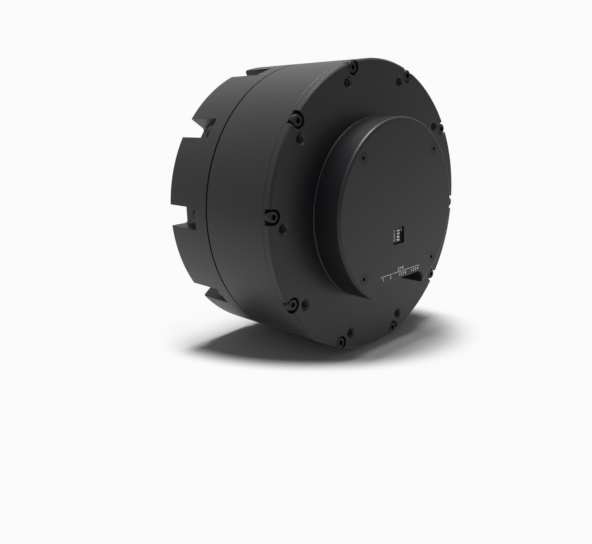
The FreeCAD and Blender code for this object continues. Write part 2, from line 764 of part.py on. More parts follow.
save("driver_board", driver_board())
save("board_screws", *[board_screw(x, z) for x, z in standoffs])
save("power_transistors", *power_transistors())
save("thermal_pad", thermal_pad())
save("controller_chip", block(chip_x, chip_z, chip_w, chip_w, board_y0 - chip_t, board_y0))
save("capacitors", *[cyl(cap_r, board_y1, -cap_end, x, cap_z) for x in (-cap_x, cap_x)])
save("encoder_chips", *[block(0, z, sensor_w, sensor_l, board_y1, board_y1 + chip_t)
                        for z in (0, sensor_z)])
for name, *place in ports():
    save(name, socket(*place))
save("switch_body", switch_body())
for n, z in enumerate(switch_rows()):
    save("switch_slider_%d" % (n + 1), switch_slider(z))
lead = cyl(lead_wire_r, board_y0 - 0.5, cover_y, lead_r)
save("phase_leads", *[turned(lead, a) for a in lead_angles])

save("stator_core", stator_core())
save("stator_coils", *stator_coils())
save("motor_bearing_outers", bearing_outer(front_brg_y), bearing_outer(rear_brg_y))
save("motor_bearing_inners", bearing_inner(front_brg_y), bearing_inner(rear_brg_y))
save("bearing_spacer", tube(brg_r, brg_r - 1.2, front_brg_y + brg_w, rear_brg_y))
save("rotor_cup", rotor_cup())
magnet = box(stator_r + air, stator_r + air + magnet_t, stack_y0, stack_y1, -magnet_w / 2, magnet_w / 2)
save("rotor_magnets", *around(magnet, magnet_n))
save("shaft_circlip", tube(shaft_r + clip_wall, shaft_r - clip_groove, clip_y, clip_y + clip_w))
save("rotor_encoder_magnet", tube(shaft_r, bore_r + 1.5, shaft_y0 - ring_magnet_t, shaft_y0))
save("sun_gear_1", sun_gear_1())

save("ring_gear_1", ring_gear(module_1, ring_1_r, ring_1_y0, ring_1_y1))
save("ring_gear_2", ring_gear(module_2, ring_2_r, ring_2_y0, ring_2_y1))
save("carrier_1", carrier_1())
save("carrier_1_plate", carrier_plate(module_1 * (sun_n / 2 + 2.4), plate_y0, plate_y1))
save("planet_pins_1", *around(cyl(pin_1_r, plate_y0, carrier_y1, centre_1), planet_n))
save("planet_pins_2", *around(cyl(pin_2_r, ring_2_y0 + 0.2, xb_y1, centre_2), planet_n))
sleeve = tube(pin_1_r + sleeve_t, pin_1_r, plate_y1, carrier_y0, centre_1)
save("planet_sleeves_1", *around(sleeve, planet_n))
sleeve = tube(pin_2_r + sleeve_t, pin_2_r, ring_2_y0 + sleeve_play, out_y0, centre_2)
save("planet_sleeves_2", *around(sleeve, planet_n))
for n, g in enumerate(planet_gears(module_1, pin_1_r, centre_1, g1_y0, g1_y1)):
    save("planet_gear_1%s" % "abc"[n], g)
for n, g in enumerate(planet_gears(module_2, pin_2_r, centre_2, g2_y0, g2_y1)):
    save("planet_gear_2%s" % "abc"[n], g)
save("carrier_bearing_outer", tube(tail_brg_r, tail_brg_r - tail_race_t, out_y0, out_y0 + tail_brg_w))
save("carrier_bearing_inner", tube(tail_r + tail_race_t, tail_r, out_y0, out_y0 + tail_brg_w - 0.2))
save("output_flange", output_flange())
save("output_bearing_inner", race(xb_in, xb_mid - xb_split / 2))
save("output_bearing_outer", race(xb_mid + xb_split / 2, xb_out))
save("crossed_rollers", *crossed_rollers())
save("output_seal", tube(out_r + seal_w, out_r + 1.6 * slip, xb_y1 + seat_gap, body_len - 0.2))
save("rear_ring", rear_ring())
flat = flat_screw(rear_screw_len, body_len - slip, rear_screw_r, 0, -1)
save("rear_ring_screws", *around(flat, station_n, 180.0 / station_n))
save("encoder_rod", cyl(rod_r, rod_y0, rod_head_y).fuse(cyl(rod_head_r, rod_head_y, rod_head_y + rod_head_t)))
save("rod_magnet", cyl(rod_magnet_r, rod_y0 - rod_magnet_t, rod_y0))
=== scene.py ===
"""Finishes, printed marks, threads, contacts and stage for a robot joint actuator."""
import json
import math

import bmesh
import bpy
from bpy.props import FloatProperty, FloatVectorProperty, IntProperty, PointerProperty
from mathutils import Matrix, Vector


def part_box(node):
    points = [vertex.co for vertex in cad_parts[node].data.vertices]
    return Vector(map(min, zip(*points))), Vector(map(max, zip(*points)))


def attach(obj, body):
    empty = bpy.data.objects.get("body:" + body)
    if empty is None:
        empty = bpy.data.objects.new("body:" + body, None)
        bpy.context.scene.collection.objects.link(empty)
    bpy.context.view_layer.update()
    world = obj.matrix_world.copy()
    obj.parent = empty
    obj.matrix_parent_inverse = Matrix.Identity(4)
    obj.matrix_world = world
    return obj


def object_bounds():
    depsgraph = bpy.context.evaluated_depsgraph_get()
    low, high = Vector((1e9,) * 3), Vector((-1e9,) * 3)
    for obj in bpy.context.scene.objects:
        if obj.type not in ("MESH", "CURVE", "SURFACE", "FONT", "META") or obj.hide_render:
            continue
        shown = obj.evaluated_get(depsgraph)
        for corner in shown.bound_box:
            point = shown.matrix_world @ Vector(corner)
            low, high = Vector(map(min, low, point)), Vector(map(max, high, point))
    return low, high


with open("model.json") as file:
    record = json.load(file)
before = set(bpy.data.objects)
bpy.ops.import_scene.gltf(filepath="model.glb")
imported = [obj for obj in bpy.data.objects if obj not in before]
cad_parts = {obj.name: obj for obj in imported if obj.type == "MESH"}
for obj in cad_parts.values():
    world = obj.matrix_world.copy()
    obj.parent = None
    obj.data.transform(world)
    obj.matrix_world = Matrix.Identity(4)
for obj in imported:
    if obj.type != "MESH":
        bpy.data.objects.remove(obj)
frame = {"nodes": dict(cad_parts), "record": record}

bl_info = {
    "name": "Robot Joint Actuator",
    "version": (1, 0, 0),
    "blender": (4, 5, 0),
    "location": "View3D > Sidebar > Actuator",
    "description": "Dresses the packed joint actuator with its finishes, marks and small details",
    "category": "Object",
}

MM = 0.001
CAD_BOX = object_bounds()
FRONT_Y = 0.0                # mounting face, the frame's own zero
COVER_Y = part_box("driver_cover")[0].y
SCREW_COUNT = 10             # screws in the rim, and screws in the rear slots
RIM_SCREW_IN = 2.2 * MM      # axes of the rim screws, inside the drum's edge
RIM_SCREW_TURN = -4.9        # degrees from the shaft's +X to the first rim screw
RIM_KNURL = (0.35 * MM, 2.4 * MM)      # start and end of the knurl, behind the head's top
SLOT_SCREW_IN = 4.25 * MM    # axes of the slot screws, inside the drum's edge
SLOT_KNURL = (3.8 * MM, 0.5 * MM)      # start and end of the knurl, in front of the head's top
MOUNT_THREAD = (0.5 * MM, 5.6 * MM)    # start and end of the thread, behind the front face
OUTPUT_THREAD = (0.6 * MM, 7.2 * MM)   # start and end of the thread, in front of the output face
PORTS = (("power_connector", 0.8 * MM, 5.9 * MM, 2),     # node, wall, depth and contacts
         ("bus_connector_a", 0.6 * MM, 4.9 * MM, 4),
         ("bus_connector_b", 0.6 * MM, 4.9 * MM, 4))
CONTACT_FOOT = 1.1 * MM      # lower end of the contacts, above the socket's mouth
CONTACT_MAX = 0.9 * MM       # half the width of the widest contact
CONTACT_SHARE = 0.22         # half a contact's width over the distance of two contacts
CONTACT_PLATING = 0.03 * MM
LINE_PAST = (1.5 * MM, 1.0 * MM)       # printed line beyond the first and the last number
TICK = 0.8 * MM              # height of the ticks at the line's ends
NUMBER_GAP = 0.45 * MM       # between the line and the numbers under it
ON_SHARE = 0.6               # height of the ON mark over that of the switch numbers
ON_IN = 0.33 * MM            # middle of the ON mark, inside the switch's edge
INK_T = 0.01 * MM
WHITE = 0.96                 # strength of the white background, just short of clipping
SHADOW_PLACE = (-0.006, 0.033)         # middle of the oval on the floor that keeps the shadow
SHADOW_TURN = -53            # degrees from +X to the oval's long axis
SHADOW_HALF = (0.073, 0.043)           # half the oval's length and width
SOFTBOX_PLACE = Vector((0.06, 0.09, 0.7))
STRIP_PLACE = Vector((-0.04, -0.2, 0.68))
STRIP_SHARE = 0.25           # depth of the narrow softbox over its width


def linear(code):
    """Linear RGBA of an sRGB hex colour such as #1a2b3c."""
    parts = [int(code[i:i + 2], 16) / 255 for i in (1, 3, 5)]
    return tuple(c / 12.92 if c <= 0.04045 else ((c + 0.055) / 1.055) ** 2.4 for c in parts) + (1.0,)


def colour(name, text, code):
    """Colour setting with an sRGB hex default."""
    return FloatVectorProperty(name=name, description=text, subtype="COLOR", size=4, min=0, max=1,
                               default=linear(code))


def length(name, text, value):
    """Length setting in metres."""
    return FloatProperty(name=name, description=text, unit="LENGTH", precision=5, min=0,
                         default=value)


def mount(name):
    """Sizes of one of the record's mounts."""
    return next(m["dims"] for m in frame["record"]["mounts"] if m["name"] == name)


# ------------------------------------------------------------------ settings
class ActuatorFinish(bpy.types.PropertyGroup):
    """Colours and grain of the finishes"""
    anodising: colour("Anodising", "Black dye of the anodised housings", "#15161a")
    oxide: colour("Black oxide", "Blackened heads of the cap screws", "#2a2a2e")
    yellow: colour("Power socket", "Nylon of the power socket", "#d8a018")
    ivory: colour("Signal socket", "Nylon of the signal sockets", "#d6d2c4")
    ink: colour("Ink", "Printed numbers and lines", "#f0f0ec")
    grain: length("Blast grain", "Size of the dents left by the blasting beads", 0.45 * MM)
    edge: length("Edge break", "Radius of the deburred edges", 0.22 * MM)


class ActuatorMarks(bpy.types.PropertyGroup):
    """Sizes of the printed marks"""
    digit: length("Pin numbers", "Height of the numbers over the ports", 1.25 * MM)
    small_digit: length("Switch numbers", "Height of the numbers on the switch", 0.95 * MM)
    line: length("Line", "Width of the printed line", 0.22 * MM)
    line_up: length("Line height", "Distance of the line above the ports", 3.0 * MM)


class ActuatorThreads(bpy.types.PropertyGroup):
    """Sizes of threads and knurls"""
    pitch: length("M4 pitch", "Pitch of the M4 threads", 0.7 * MM)
    depth: length("Thread depth", "Height of the thread ridge that shows in a hole", 0.22 * MM)
    knurl: length("Knurl", "Height of the ridges round a cap screw's head", 0.06 * MM)
    ridges: IntProperty(name="Ridges", description="Knurl ridges round the head of an M4 screw",
                        default=36, min=12)
    rim_head: length("Rim heads", "Radius of the heads of the M2.5 screws in the rim", 2.25 * MM)
    slot_head: length("Slot heads", "Radius of the heads of the M4 screws in the slots", 3.5 * MM)


class ActuatorStage(bpy.types.PropertyGroup):
    """Camera and light"""
    azimuth: FloatProperty(name="Azimuth", description="Camera's angle to the left of the front",
                           subtype="ANGLE", default=math.radians(44.68))
    elevation: FloatProperty(name="Elevation", description="Camera's angle above the shaft",
                             subtype="ANGLE", default=math.radians(15.08))
    roll: FloatProperty(name="Roll", description="Camera's turn about its line of sight",
                        subtype="ANGLE", default=math.radians(-1.96))
    distance: length("Distance", "Camera to the plane through the origin", 268.43 * MM)
    across: FloatProperty(name="Across", description="Camera moved to its own right",
                          unit="LENGTH", default=-32.955 * MM)
    up: FloatProperty(name="Up", description="Camera moved upwards", unit="LENGTH", default=-26.525 * MM)
    lens: FloatProperty(name="Lens", description="Focal length on a 36 mm sensor",
                        unit="CAMERA", default=39.04)
    key: FloatProperty(name="Key light", description="Power of the softbox above",
                       default=5.2, unit="POWER")
    strip: FloatProperty(name="Strip light", description="Power of the narrow, edge-lighting softbox",
                         default=0.8, unit="POWER")
    softbox: length("Softbox", "Width of the softboxes", 0.28)
    fill: FloatProperty(name="Fill", description="Light from all round", default=0.1, min=0)


# ------------------------------------------------------------------- helpers
def add_node(tree, kind, values=None, links=None, **settings):
    """Add a node: `values` fill its inputs, `links` feed them, `settings` are its options."""
    node = tree.nodes.new("ShaderNode" + kind)
    for key, value in settings.items():
        setattr(node, key, value)
    for key, value in (values or {}).items():
        node.inputs[key].default_value = value
    for key, source in (links or {}).items():
        tree.links.new(source, node.inputs[key])
    return node


def new_material(name, base, metallic, roughness):
    """Material with its shader's plain values set; patterns are linked in afterwards."""
    material = bpy.data.materials.new(name)
    material.use_nodes = True
    tree = material.node_tree
    shader = tree.nodes["Principled BSDF"]
    shader.inputs["Base Color"].default_value = base
    shader.inputs["Metallic"].default_value = metallic
    shader.inputs["Roughness"].default_value = roughness
    place = add_node(tree, "TexCoord").outputs["Object"]
    return material, tree, shader, place


def relief(tree, shader, height, depth, edge=None):
    """Bump of `depth` from a height, over edges rounded by `edge` where one is given."""
    bump = add_node(tree, "Bump", {"Strength": 1.0, "Distance": depth}, {"Height": height})
    if edge:
        rounded = add_node(tree, "Bevel", {"Radius": edge}, samples=6)
        tree.links.new(rounded.outputs["Normal"], bump.inputs["Normal"])
    tree.links.new(bump.outputs["Normal"], shader.inputs["Normal"])


def grain_of(tree, place, size, detail=2.0):
    """Noise whose patches are about `size` across."""
    noise = add_node(tree, "TexNoise", {"Scale": 1 / size, "Detail": detail}, {"Vector": place})
    return noise.outputs["Fac"]


def mottle(tree, shader, place, base, other, size):
    """Soft drift of the colour from `base` to `other` over patches of `size`."""
    patches = add_node(tree, "TexNoise", {"Scale": 1 / size, "Detail": 3.0}, {"Vector": place})
    ramp = add_node(tree, "ValToRGB", links={"Fac": patches.outputs["Fac"]})
    ramp.color_ramp.elements[0].position = 0.35
    ramp.color_ramp.elements[0].color = base
    ramp.color_ramp.elements[1].position = 0.65
    ramp.color_ramp.elements[1].color = other
    tree.links.new(ramp.outputs["Color"], shader.inputs["Base Color"])
    return ramp


def brighter(rgba, share):
    """The colour times `share`, which darkens it below 1."""
    return tuple(c * share for c in rgba[:3]) + (1.0,)


def shaft_radius(tree, place):
    """Distance from the shaft axis, for turned and ground faces."""
    flat = add_node(tree, "VectorMath", {1: (1.0, 0.0, 1.0)}, {0: place}, operation="MULTIPLY")
    return add_node(tree, "VectorMath", links={0: flat.outputs[0]}, operation="LENGTH").outputs["Value"]


def dress(material, *names):
    """Give CAD nodes their finish."""
    for name in names:
        node = frame["nodes"][name]
        if not node.material_slots:
            node.data.materials.append(material)
        for slot in node.material_slots:
            slot.material = material


def group(prefix):
    """CAD nodes whose names start with `prefix`."""
    names = sorted(n for n in frame["nodes"] if n.startswith(prefix))
    if not names:
        raise RuntimeError("no CAD node is named %s..." % prefix)
    return names


def add_piece(name, bm, material, body):
    """Turn a bmesh into a named piece that rides on a body."""
    bmesh.ops.recalc_face_normals(bm, faces=bm.faces)
    mesh = bpy.data.meshes.new(name)
    bm.to_mesh(mesh)
    bm.free()
    mesh.materials.append(material)
    piece = bpy.data.objects.new(name, mesh)
    bpy.context.scene.collection.objects.link(piece)
    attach(piece, body)
    return piece


def add_box(bm, low, high):
    """Axis-aligned box between two corners."""
    size = Vector(high) - Vector(low)
    place = Matrix.Translation((Vector(high) + Vector(low)) / 2) @ Matrix.Diagonal(size.to_4d())
    bmesh.ops.create_cube(bm, size=1.0, matrix=place)


def add_text(bm, text, height, x, y, z, upright=True):
    """Printed characters centred on (x, z), facing the front; they read upwards if not upright."""
    curve = bpy.data.curves.new("characters", "FONT")
    curve.body = text
    curve.size = height / 0.7
    curve.align_x = "CENTER"
    curve.align_y = "CENTER"
    curve.extrude = INK_T / 2
    curve.offset = 0.04 * height
    holder = bpy.data.objects.new("characters", curve)
    bpy.context.scene.collection.objects.link(holder)
    bpy.context.view_layer.update()
    mesh = bpy.data.meshes.new_from_object(holder)
    if not upright:
        mesh.transform(Matrix.Rotation(math.pi / 2, 4, "Z"))
    mesh.transform(Matrix.Translation((x, y - INK_T / 2, z)) @ Matrix.Rotation(math.pi / 2, 4, "X"))
    bm.from_mesh(mesh)
    bpy.data.objects.remove(holder)
    bpy.data.curves.remove(curve)
    bpy.data.meshes.remove(mesh)


def stations(count, radius, turn=0.0):
    """Places round the shaft, counted from +X towards +Z."""
    angles = [math.radians(turn) + 2 * math.pi * i / count for i in range(count)]
    return [Vector((radius * math.cos(a), 0.0, radius * math.sin(a))) for a in angles]


def add_thread(bm, centre, wall, pitch, depth, y0, y1):
    """Helical ridge on the wall of a tapped hole along Y."""
    steps = 24
    count = int((abs(y1 - y0) / pitch - 0.5) * steps)
    sign = 1 if y1 > y0 else -1
    rows = []
    for i in range(count + 1):
        a = 2 * math.pi * i / steps
        fade = min(1.0, i / steps, (count - i) / steps)
        y = y0 + sign * pitch * (i / steps + 0.25)
        row = []
        crest = wall - depth * fade
        for r, dy in ((wall, -0.4), (crest, -0.06), (crest, 0.06), (wall, 0.4)):
            corner = Vector((r * math.cos(a), y + dy * pitch, -r * math.sin(a)))
            row.append(bm.verts.new(centre + corner))
        rows.append(row)
    for a, b in zip(rows, rows[1:]):
        for k in range(3):
            bm.faces.new((a[k], a[k + 1], b[k + 1], b[k]))


def add_knurl(bm, centre, radius, height, y0, y1, ridges):
    """Ring of straight ridges round a screw head."""
    n = 4 * ridges
    rings = []
    for y, share in ((y0, 0.0), (y0 + height, 1.0), (y1 - height, 1.0), (y1, 0.0)):
        ring = []
        for i in range(n):
            a = 2 * math.pi * i / n
            r = radius + (height * share if i % 4 in (1, 2) else -0.02 * MM)
            ring.append(bm.verts.new(centre + Vector((r * math.cos(a), y, r * math.sin(a)))))
        rings.append(ring)
    for low, high in zip(rings, rings[1:]):
        for i in range(n):
            bm.faces.new((low[i], low[(i + 1) % n], high[(i + 1) % n], high[i]))


# ----------------------------------------------------------------- materials
def bead_blasted_black_anodised_aluminium(finish):
    # Aluminium, bead blasted and dyed black when anodised: a dead even satin black whose
    # gloss is broken by fine dents.  The beads leave dents of about 0.1 mm, drawn coarser
    # here so that they show.  The deburred edges are drawn lighter, partly for the thinner
    # dye there and partly as a painted highlight along the edges.
    base = tuple(finish.anodising)
    material, tree, shader, place = new_material("bead_blasted_black_anodised_aluminium", base,
                                                 0.12, 0.42)
    ramp = mottle(tree, shader, place, base, brighter(base, 1.12), 14 * MM)
    grain = grain_of(tree, place, finish.grain)
    relief(tree, shader, grain, 0.012 * MM, finish.edge)
    # Painted highlight, with thinner dye: the base colour is lifted on the deburred edges, found where
    # the rounded normal departs from the flat one.
    rounded = add_node(tree, "Bevel", {"Radius": finish.edge}, samples=6)
    flat = add_node(tree, "NewGeometry")
    same = add_node(tree, "VectorMath", links={0: rounded.outputs["Normal"], 1: flat.outputs["Normal"]},
                    operation="DOT_PRODUCT")
    thin_dye_and_painted_highlight = add_node(tree, "MapRange",
                    {"From Min": 0.999, "From Max": 0.85, "To Min": 0.0, "To Max": 0.55},
                    {"Value": same.outputs["Value"]})
    mixed = add_node(tree, "Mix", {"B": brighter(base, 5.0)},
                     {"Factor": thin_dye_and_painted_highlight.outputs["Result"], "A": ramp.outputs["Color"]}, data_type="RGBA")
    tree.links.new(mixed.outputs["Result"], shader.inputs["Base Color"])
    return material


def black_oxide_steel(finish):
    # Alloy steel screw, cold headed and blackened in hot salt: thin dark skin with the
    # sheen of the oiled steel under it, and edges rounded by the heading die.
    material, tree, shader, place = new_material("black_oxide_steel", tuple(finish.oxide), 0.75, 0.33)
    mottle(tree, shader, place, tuple(finish.oxide), brighter(finish.oxide, 1.4), 1.2 * MM)
    grain = grain_of(tree, place, 0.3 * MM)
    relief(tree, shader, grain, 0.008 * MM, 0.25 * MM)
    return material


def zinc_plated_steel():
    # Steel screw with bright zinc: light, slightly blue, faint grain.
    material, tree, shader, place = new_material("zinc_plated_steel", linear("#b4b8bf"), 1.0, 0.3)
    grain = grain_of(tree, place, 0.25 * MM)
    relief(tree, shader, grain, 0.006 * MM, 0.1 * MM)
    return material


def ground_bearing_steel():
    # Hardened chrome steel, ground and honed: bright, with fine lines round the axis.
    material, tree, shader, place = new_material("ground_bearing_steel", linear("#c3c6cb"), 1.0, 0.2)
    lines = add_node(tree, "TexNoise", {"Scale": 1 / (0.15 * MM), "Detail": 2.0},
                     {"W": shaft_radius(tree, place)}, noise_dimensions="1D")
    relief(tree, shader, lines.outputs["Fac"], 0.002 * MM, 0.1 * MM)
    return material


def hobbed_gear_steel():
    # Case-hardened steel, hobbed and shot peened: grey, satin, with a fine peened skin.
    base = linear("#85888e")
    material, tree, shader, place = new_material("hobbed_gear_steel", base, 1.0, 0.38)
    mottle(tree, shader, place, base, brighter(base, 0.82), 4 * MM)
    grain = add_node(tree, "TexVoronoi", {"Scale": 1 / (0.35 * MM)}, {"Vector": place})
    relief(tree, shader, grain.outputs["Distance"], 0.01 * MM, 0.12 * MM)
    return material


def turned_aluminium():
    # Bare aluminium faced on a lathe: bright silver with rings from the tool's feed.
    # The feed is about 0.1 mm a turn, drawn at 0.5 mm so that the rings show.
    base = linear("#c2c4c7")
    material, tree, shader, place = new_material("turned_aluminium", base, 1.0, 0.3)
    radius = shaft_radius(tree, place)
    feed = add_node(tree, "TexNoise", {"Scale": 1 / (0.5 * MM), "Detail": 3.0}, {"W": radius},
                    noise_dimensions="1D")
    relief(tree, shader, feed.outputs["Fac"], 0.012 * MM, 0.2 * MM)
    gloss = add_node(tree, "MapRange", {"To Min": 0.22, "To Max": 0.38}, {"Value": feed.outputs["Fac"]})
    tree.links.new(gloss.outputs["Result"], shader.inputs["Roughness"])
    return material


def stacked_silicon_steel():
    # Silicon steel sheets of 0.35 mm, punched and stacked along the shaft: dull grey
    # with a dark line of varnish between two sheets, drawn at 0.7 mm so that it shows.
    base = linear("#62666b")
    material, tree, shader, place = new_material("stacked_silicon_steel", base, 0.85, 0.45)
    sheets = add_node(tree, "TexWave", {"Scale": 1 / (0.7 * MM) / 6.283, "Distortion": 0.0},
                      {"Vector": place}, bands_direction="Y", wave_profile="SAW")
    ramp = add_node(tree, "ValToRGB", links={"Fac": sheets.outputs["Fac"]})
    ramp.color_ramp.elements[0].color = brighter(base, 0.3)
    ramp.color_ramp.elements[1].position = 0.2
    ramp.color_ramp.elements[1].color = base
    tree.links.new(ramp.outputs["Color"], shader.inputs["Base Color"])
    relief(tree, shader, sheets.outputs["Fac"], 0.03 * MM)
    return material


def enamelled_copper_wire():
    # Copper wire of 0.8 mm with amber enamel, wound in rows round each tooth.
    base = linear("#b3602c")
    material, tree, shader, place = new_material("enamelled_copper_wire", base, 0.85, 0.3)
    rows = add_node(tree, "TexWave", {"Scale": 1 / (0.8 * MM) / 6.283, "Distortion": 0.6},
                    {"Vector": place}, wave_type="RINGS", rings_direction="Y")
    # Painted shade: the colour darkens between the rows, where neighbouring turns meet.
    ramp = add_node(tree, "ValToRGB", links={"Fac": rows.outputs["Fac"]})
    ramp.color_ramp.elements[0].color = brighter(base, 0.35)
    ramp.color_ramp.elements[1].color = base
    tree.links.new(ramp.outputs["Color"], shader.inputs["Base Color"])
    relief(tree, shader, rows.outputs["Fac"], 0.12 * MM)
    shader.inputs["Coat Weight"].default_value = 0.4
    return material


def nickel_plated_magnet():
    # Sintered magnet with plated nickel: warm silver, slightly orange-peeled.
    material, tree, shader, place = new_material("nickel_plated_magnet", linear("#b0afa9"), 1.0, 0.26)
    peel = grain_of(tree, place, 0.9 * MM, 1.0)
    relief(tree, shader, peel, 0.02 * MM, 0.2 * MM)
    return material


def nitrile_rubber():
    # Moulded nitrile rubber: near black, dull, faintly wiped by the shaft.
    base = linear("#101010")
    material, tree, shader, place = new_material("nitrile_rubber", base, 0.0, 0.72)
    mottle(tree, shader, place, base, brighter(base, 1.8), 3 * MM)
    grain = grain_of(tree, place, 0.3 * MM, 3.0)
    relief(tree, shader, grain, 0.02 * MM, 0.2 * MM)
    return material


def solder_masked_board():
    # Glass-epoxy board with green solder mask: glossy, copper tracks show as lighter bands.
    base = linear("#0c3a22")
    material, tree, shader, place = new_material("solder_masked_board", base, 0.0, 0.32)
    tracks = add_node(tree, "TexVoronoi", {"Scale": 1 / (2.4 * MM)}, {"Vector": place},
                      distance="MANHATTAN", feature="F1")
    ramp = add_node(tree, "ValToRGB", links={"Fac": tracks.outputs["Distance"]})
    ramp.color_ramp.interpolation = "CONSTANT"
    ramp.color_ramp.elements[0].color = base
    ramp.color_ramp.elements[1].position = 0.42
    ramp.color_ramp.elements[1].color = linear("#14583a")
    tree.links.new(ramp.outputs["Color"], shader.inputs["Base Color"])
    relief(tree, shader, ramp.outputs["Color"], 0.03 * MM)
    return material


def moulded_epoxy():
    # Chip package of filled epoxy, moulded in a spark-eroded tool: matt dark grey.
    base = linear("#1b1b1d")
    material, tree, shader, place = new_material("moulded_epoxy", base, 0.0, 0.6)
    mottle(tree, shader, place, base, brighter(base, 1.3), 1.5 * MM)
    grain = grain_of(tree, place, 0.2 * MM)
    relief(tree, shader, grain, 0.015 * MM, 0.12 * MM)
    return material


def drawn_aluminium_can():
    # Capacitor can, deep drawn: clear silver with faint lines along the can.
    material, tree, shader, place = new_material("drawn_aluminium_can", linear("#b6b9bd"), 1.0, 0.28)
    lines = add_node(tree, "Mapping", {"Scale": (1.0, 0.03, 1.0)}, {"Vector": place})
    grain = grain_of(tree, lines.outputs["Vector"], 0.3 * MM)
    relief(tree, shader, grain, 0.008 * MM, 0.25 * MM)
    return material


def silicone_pad():
    # Heat-conducting silicone sheet: soft, matt grey, with filler specks.
    base = linear("#757b82")
    material, tree, shader, place = new_material("silicone_pad", base, 0.0, 0.85)
    mottle(tree, shader, place, base, brighter(base, 0.8), 0.8 * MM)
    grain = grain_of(tree, place, 0.4 * MM, 3.0)
    relief(tree, shader, grain, 0.03 * MM)
    return material


def moulded_nylon(name, base):
    # Injection-moulded nylon socket: dyed through, lightly glossy, fine tool texture.
    material, tree, shader, place = new_material(name, base, 0.0, 0.42)
    mottle(tree, shader, place, base, brighter(base, 0.93), 5 * MM)
    grain = grain_of(tree, place, 0.35 * MM)
    relief(tree, shader, grain, 0.012 * MM, 0.12 * MM)
    return material


def sintered_bronze():
    # Oil-filled sintered bronze: brown gold, matt, with open pores.
    base = linear("#966a38")
    material, tree, shader, place = new_material("sintered_bronze", base, 0.9, 0.45)
    pores = add_node(tree, "TexVoronoi", {"Scale": 1 / (0.4 * MM)}, {"Vector": place})
    ramp = add_node(tree, "ValToRGB", links={"Fac": pores.outputs["Distance"]})
    ramp.color_ramp.elements[0].color = brighter(base, 0.4)
    ramp.color_ramp.elements[1].position = 0.3
    ramp.color_ramp.elements[1].color = base
    tree.links.new(ramp.outputs["Color"], shader.inputs["Base Color"])
    relief(tree, shader, pores.outputs["Distance"], 0.03 * MM)
    return material


def pad_printed_ink(finish):
    # Two-part white ink, pad printed: opaque, matt, with a slightly uneven film.
    ink = tuple(finish.ink)
    material, tree, shader, place = new_material("pad_printed_ink", ink, 0.0, 0.55)
    mottle(tree, shader, place, ink, brighter(ink, 0.85), 0.5 * MM)
    return material


def gold_plated_brass():
    # Brass contact with a gold flash: warm and bright, with fine drawing lines.
    material, tree, shader, place = new_material("gold_plated_brass", linear("#dfb25a"), 1.0, 0.24)
    lines = add_node(tree, "Mapping", {"Scale": (1.0, 1.0, 0.05)}, {"Vector": place})
    grain = grain_of(tree, lines.outputs["Vector"], 0.15 * MM)
    relief(tree, shader, grain, 0.006 * MM)
    return material


# ----------------------------------------------------------------- operators
class ACTUATOR_OT_housings(bpy.types.Operator):
    """Finish the anodised covers and housings"""
    bl_idname = "actuator.housings"
    bl_label = "Housings and covers"

    def execute(self, context):
        material = bead_blasted_black_anodised_aluminium(context.scene.actuator_finish)
        dress(material, "end_cover", "motor_housing", "gearbox_housing", "driver_cover", "rear_ring")
        return {"FINISHED"}


class ACTUATOR_OT_screws(bpy.types.Operator):
    """Finish the screws and knurl the heads of the cap screws"""
    bl_idname = "actuator.screws"
    bl_label = "Screws"

    def execute(self, context):
        finish = context.scene.actuator_finish
        threads = context.scene.actuator_threads
        black = black_oxide_steel(finish)
        dress(black, "rim_screws", "slot_screws", "hub_screws", "rear_ring_screws")
        dress(zinc_plated_steel(), "board_screws")
        rim_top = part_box("rim_screws")[0].y
        slot_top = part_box("slot_screws")[1].y
        radius = -CAD_BOX[0].x
        bm = bmesh.new()
        for centre in stations(SCREW_COUNT, radius - RIM_SCREW_IN, RIM_SCREW_TURN):
            add_knurl(bm, centre, threads.rim_head, threads.knurl,
                      rim_top + RIM_KNURL[0], rim_top + RIM_KNURL[1], threads.ridges * 2 // 3)
        for centre in stations(SCREW_COUNT, radius - SLOT_SCREW_IN):
            add_knurl(bm, centre, threads.slot_head, threads.knurl,
                      slot_top - SLOT_KNURL[0], slot_top - SLOT_KNURL[1], threads.ridges)
        add_piece("screw_knurls", bm, black, "housing")
        return {"FINISHED"}


class ACTUATOR_OT_threads(bpy.types.Operator):
    """Cut the threads that show in the mounting holes and in the output flange"""
    bl_idname = "actuator.threads"
    bl_label = "Threads"

    def execute(self, context):
        threads = context.scene.actuator_threads
        front, rear = mount("front_bolts"), mount("output_bolts")
        bm = bmesh.new()
        for centre in stations(front["count"], front["pcd_mm"] / 2 * MM):
            add_thread(bm, centre, front["hole_r_mm"] * MM, threads.pitch, threads.depth,
                       FRONT_Y + MOUNT_THREAD[0], FRONT_Y + MOUNT_THREAD[1])
        add_piece("mounting_threads", bm, frame["nodes"]["end_cover"].active_material, "housing")
        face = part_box("output_flange")[1].y
        bm = bmesh.new()
        for centre in stations(rear["count"], rear["pcd_mm"] / 2 * MM):
            add_thread(bm, centre, rear["hole_r_mm"] * MM, threads.pitch, threads.depth,
                       face - OUTPUT_THREAD[0], face - OUTPUT_THREAD[1])
        add_piece("output_threads", bm, turned_aluminium(), "output")
        return {"FINISHED"}


class ACTUATOR_OT_sockets(bpy.types.Operator):
    """Finish the sockets in the connector bay and plate their contacts"""
    bl_idname = "actuator.sockets"
    bl_label = "Sockets"

    def execute(self, context):
        finish = context.scene.actuator_finish
        dress(moulded_nylon("yellow_nylon", tuple(finish.yellow)), "power_connector")
        dress(moulded_nylon("ivory_nylon", tuple(finish.ivory)), "bus_connector_a", "bus_connector_b")
        bm = bmesh.new()
        for name, wall, depth, pins in PORTS:
            low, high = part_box(name)
            middle = (low.y + high.y) / 2
            step = (high.x - low.x - 2 * wall) / pins
            half = min(step * CONTACT_SHARE, CONTACT_MAX) + CONTACT_PLATING
            for i in range(pins):
                x = low.x + wall + step * (i + 0.5)
                add_box(bm, (x - half, middle - half, low.z + CONTACT_FOOT),
                        (x + half, middle + half, low.z + depth))
        add_piece("port_contacts", bm, gold_plated_brass(), "housing")
        return {"FINISHED"}


